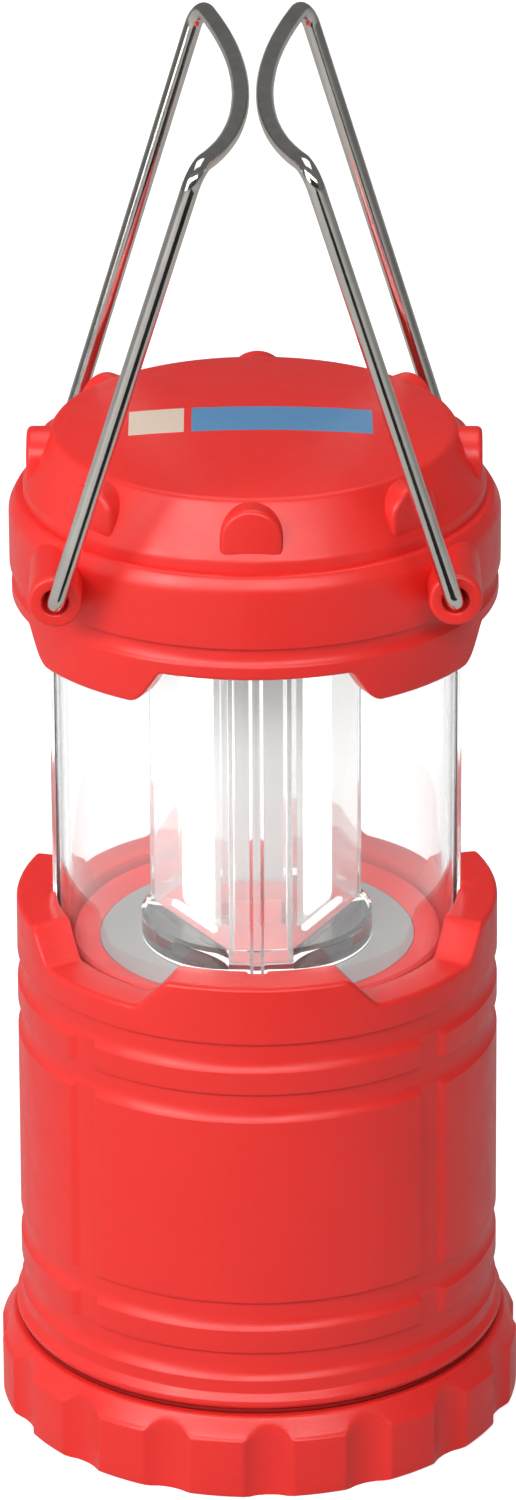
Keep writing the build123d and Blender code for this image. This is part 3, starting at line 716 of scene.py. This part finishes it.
def hexagon(face, corner, radius):
    """Rounded outline of the three-sided light column."""
    points = []
    for azimuth in COLUMN_AZIMUTHS:
        for turn, sign in ((azimuth - 60, 1), (azimuth + 60, -1)):
            a, b = radians(azimuth), radians(turn)
            # crossing of the face line and the cut corner's line
            det = cos(a) * sin(b) - sin(a) * cos(b)
            x = (face * sin(b) - corner * sin(a)) / det
            y = (corner * cos(a) - face * cos(b)) / det
            points.append((x, y, radius))
    return rounded(points, 5)


def build_column():
    outer = hexagon(COLUMN_FACE, COLUMN_CORNER, 0.5)
    inner = hexagon(COLUMN_FACE - COLUMN_WALL, COLUMN_CORNER - COLUMN_WALL, 0.4)
    verts, faces = [], []
    count = len(outer)
    heights = (COLUMN_LOW, 60, 78, COLUMN_TOP)
    rows = [(outer, z) for z in heights] + [(inner, z) for z in reversed(heights)]
    for outline, z in rows:
        verts += [(x, y, z) for x, y in outline]
    for k in range(len(rows)):
        m = (k + 1) % len(rows)
        for i in range(count):
            j = (i + 1) % count
            faces.append((k * count + i, k * count + j, m * count + j, m * count + i))
    piece = make_object("light_prism", verts, faces, COLUMN, 25)
    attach(piece, "head")
    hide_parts("light_column")


def build_shelves():
    """Clear bars inside the column that close the pocket under each light strip, with a painted glow from
    their material.
    """
    verts, faces = [], []
    for azimuth in COLUMN_AZIMUTHS:
        c, s = cos(radians(azimuth)), sin(radians(azimuth))
        place = lambda x, y, z, c=c, s=s: (x * c - y * s, x * s + y * c, z)
        half, corner_r = SHELF_HALF, 0.12
        corners = ((SHELF_IN, -half), (SHELF_OUT, -half), (SHELF_OUT, half), (SHELF_IN, half))
        outline = rounded([(x, y, corner_r) for x, y in corners])
        rows = [(0.1, SHELF_LOW), (0, SHELF_LOW + 0.1), (0, SHELF_TOP - 0.1), (0.1, SHELF_TOP)]
        add_prism(verts, faces, outline, rows, place)
    # painted glow: the shelves' emission stands in for the strips' light caught in them
    piece = make_object("strip_shelves", verts, faces, PAINTED_GLOW_CLEAR, 30)
    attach(piece, "head")


def build_painted_foot_glint():
    """Bead round the bottom edge of the clear foot, thickest at the front, with a painted glow that stands
    in for the strips' light caught at the foot's edge.
    """
    verts, faces = [], []
    sides = 10

    def profile(theta):
        # the painted glint is made thickest at the front
        thick = 0.11 + 0.34 * max(0.0, -sin(radians(theta))) ** 8
        turns = [2 * pi * k / sides for k in range(sides)]
        return [(FOOT_R + 0.15 * cos(a), FOOT_LOW + thick * (1 + sin(a))) for a in turns]

    add_lathe(verts, faces, profile, 180)
    # a painted glint: this bead glows though it is no lamp
    piece = make_object("painted_foot_glint", verts, faces, PAINTED_GLOW_CLEAR, 60)
    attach(piece, "body")


# ---------------------------------------------------------------- bails
def bail_path():
    """Centre line of the left bail."""
    pivot = Vector((-EYELET_X, 0, EYELET_Z))
    rise = Vector(BAIL_RISE)
    bow = Vector((rise.z, 0, -rise.x)).normalized()
    back = Vector((0, 1, 0))
    bend, end_bend = 2.6, 1.2
    along = (back + bow * (2 * BAIL_BULGE / BAIL_TOP_Y)).normalized()
    front = pivot - back * BAIL_Y
    front_top = pivot + rise - back * BAIL_TOP_Y
    leg = (front_top - front).normalized()

    def corner(point, first, second, reach, steps):
        """Points of a round bend that leaves a point by the same reach in both directions."""
        bisector = (first + second).normalized()
        spread = first.angle(bisector)
        centre = point + bisector * (reach / cos(spread))
        start = point + first * reach - centre
        end = point + second * reach - centre
        turn = start.angle(end)
        out = []
        for k in range(steps + 1):
            t = k / steps
            out.append(centre + (start * sin((1 - t) * turn) + end * sin(t * turn)) / sin(turn))
        return out

    path = [front + back * (BAIL_END - (BAIL_END - end_bend) * k / 6) for k in range(6)]
    path += corner(front, back, leg, end_bend, 8)
    length = (front_top - front).length
    path += [front + leg * (end_bend + (length - end_bend - bend) * k / 24) for k in range(1, 24)]
    path += corner(front_top, -leg, along, bend, 14)
    start = front_top + along * bend
    reach = (pivot + rise + bow * BAIL_BULGE) - start
    middle = start + reach
    handle = reach.length / 3
    ends = [start, start + along * handle, middle - back * handle, middle]
    for k in range(1, 25):
        t = k / 24
        weights = ((1 - t) ** 3, 3 * t * (1 - t) ** 2, 3 * t * t * (1 - t), t ** 3)
        path.append(sum((p * w for p, w in zip(ends, weights)), Vector()))
    mirrored = [Vector((p.x, -p.y, p.z)) for p in reversed(path[:-1])]
    return path + mirrored


def build_bails():
    path = bail_path()
    sides = (("wire_left", "left_bail", "bail_left", 1), ("wire_right", "right_bail", "bail_right", -1))
    for name, body, node, sign in sides:
        verts, faces = [], []
        add_wire(verts, faces, [(sign * p.x, sign * p.y, p.z) for p in path], WIRE_R)
        piece = make_object(name, verts, faces, NICKEL, 60)
        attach(piece, body)
        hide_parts(node)


# ---------------------------------------------------------------- stage
def add_paper(name, verts, faces, colour, glow=0.0):
    """A piece of the stage, in metres, that may glow."""
    mesh = bpy.data.meshes.new(name)
    mesh.from_pydata(verts, [], faces)
    sheet = bpy.data.objects.new(name, mesh)
    scene.collection.objects.link(sheet)
    material, tree, bsdf = new_material(name + "_paper")
    bsdf.inputs["Base Color"].default_value = (*colour, 1)
    bsdf.inputs["Roughness"].default_value = 0.9
    bsdf.inputs["Specular IOR Level"].default_value = 0.1
    bsdf.inputs["Emission Color"].default_value = (1, 1, 1, 1)
    bsdf.inputs["Emission Strength"].default_value = glow
    mesh.materials.append(material)
    return sheet


def add_sheet(name, low, high, height, colour, glow=0.0):
    """A level rectangle of the stage, from corner low to corner high."""
    corners = [(low[0], low[1]), (high[0], low[1]), (high[0], high[1]), (low[0], high[1])]
    return add_paper(name, [(x, y, height) for x, y in corners], [(0, 1, 2, 3)], colour, glow)


def hide_from_light(sheet):
    """Leaves a stage piece to be seen by the camera and through clear plastic only."""
    sheet.visible_diffuse = False
    sheet.visible_glossy = False
    sheet.visible_shadow = False


def add_backdrop(radius, height, colour, glow):
    """A round paper wall that stands behind the object in every view."""
    sides = 64
    ring = [(radius * cos(2 * pi * k / sides), radius * sin(2 * pi * k / sides)) for k in range(sides)]
    verts = [(x, y, z) for z in (-0.01, height) for x, y in ring]
    faces = [(k, (k + 1) % sides, sides + (k + 1) % sides, sides + k) for k in range(sides)]
    return add_paper("backdrop", verts, faces, colour, glow)


def build_stage():
    """White paper for the eye, and a grey table and a black card for the light."""
    hide_from_light(add_sheet("floor", (-6, -6), (6, 6), 0, (0.60, 0.60, 0.60), 0.72))
    hide_from_light(add_backdrop(5.9, 8.0, (0.60, 0.60, 0.60), 0.72))
    # the grey table under the paper, which gives the bounce light and the wires' mid tone
    table = add_sheet("table", (-6, -6), (6, 6), -0.0005, (0.30, 0.30, 0.30), 0.18)
    table.visible_camera = False
    table.visible_transmission = False
    # a black card under the camera, which only the plated wires and the gloss pick up
    card = add_sheet("black_card", (-0.03, -1.4), (0.2, -0.13), 0.001, (0.01, 0.01, 0.01))
    card.visible_camera = False
    card.visible_diffuse = False
    card.visible_shadow = False
    card.visible_transmission = False


LAMP_AIM = Vector((0, 0, 0.09))


def add_area(name, place, size, power):
    """A rectangular softbox in metres that points at the middle of the lantern."""
    data = bpy.data.lights.new(name, "AREA")
    data.shape = "RECTANGLE"
    data.size, data.size_y = size
    data.energy = power
    lamp = bpy.data.objects.new(name, data)
    lamp.location = place
    lamp.rotation_mode = "QUATERNION"
    lamp.rotation_quaternion = (LAMP_AIM - Vector(place)).to_track_quat("-Z", "Y")
    scene.collection.objects.link(lamp)
    return lamp


def build_lights():
    add_area("key_left", (-0.85, -0.75, 0.50), (0.6, 0.8), 4.6)
    rim = add_area("rim_left", (-1.1, 0.35, 0.35), (0.9, 1.1), 6.0)
    rim.visible_glossy = False
    add_area("front_top", (-0.15, -0.90, 0.76), (2.0, 0.22), 13.0)
    add_area("top", (0.0, 0.15, 1.1), (0.8, 0.8), 4.0)


def build_world():
    """Dim even light, darker towards the front so that the gloss keeps its contrast."""
    world = bpy.data.worlds.new("studio")
    world.use_nodes = True
    tree = world.node_tree
    coords = tree.nodes.new("ShaderNodeTexCoord")
    facing = tree.nodes.new("ShaderNodeVectorMath")
    facing.operation = "DOT_PRODUCT"
    lift = radians(10)
    facing.inputs[1].default_value = (0, -cos(lift), sin(lift))
    tree.links.new(coords.outputs["Generated"], facing.inputs[0])
    sides, front = 0.15, 0.03
    starts, ends = cos(radians(44)), cos(radians(30))
    shade = remap(tree, facing.outputs["Value"], sides, front, starts, ends)
    tree.nodes["Background"].inputs["Color"].default_value = (1, 1, 1, 1)
    tree.links.new(shade, tree.nodes["Background"].inputs["Strength"])
    scene.world = world


def build_camera():
    """A long lens, looking down on the front."""
    data = bpy.data.cameras.new("camera")
    camera = bpy.data.objects.new("camera", data)
    scene.collection.objects.link(camera)
    distance, pitch, roll = 0.7725, radians(23.34), radians(-0.3)
    target = Vector((0.0002, 0, 0.0756))
    back = Vector((0, -cos(pitch), sin(pitch)))
    camera.location = target + back * distance
    camera.rotation_mode = "QUATERNION"
    aim = (-back).to_track_quat("-Z", "Y")
    camera.rotation_quaternion = aim @ Quaternion((0, 0, 1), roll)
    data.sensor_width = 36
    data.lens = 172.8
    data.clip_start, data.clip_end = 0.05, 50
    scene.camera = camera
    scene.view_settings.view_transform = "Standard"


dress_cad()
build_shell()
build_cap()
build_band()
build_head_top()
build_lens()
build_column()
build_shelves()
build_painted_foot_glint()
build_bails()
build_stage()
build_lights()
build_world()
build_camera()
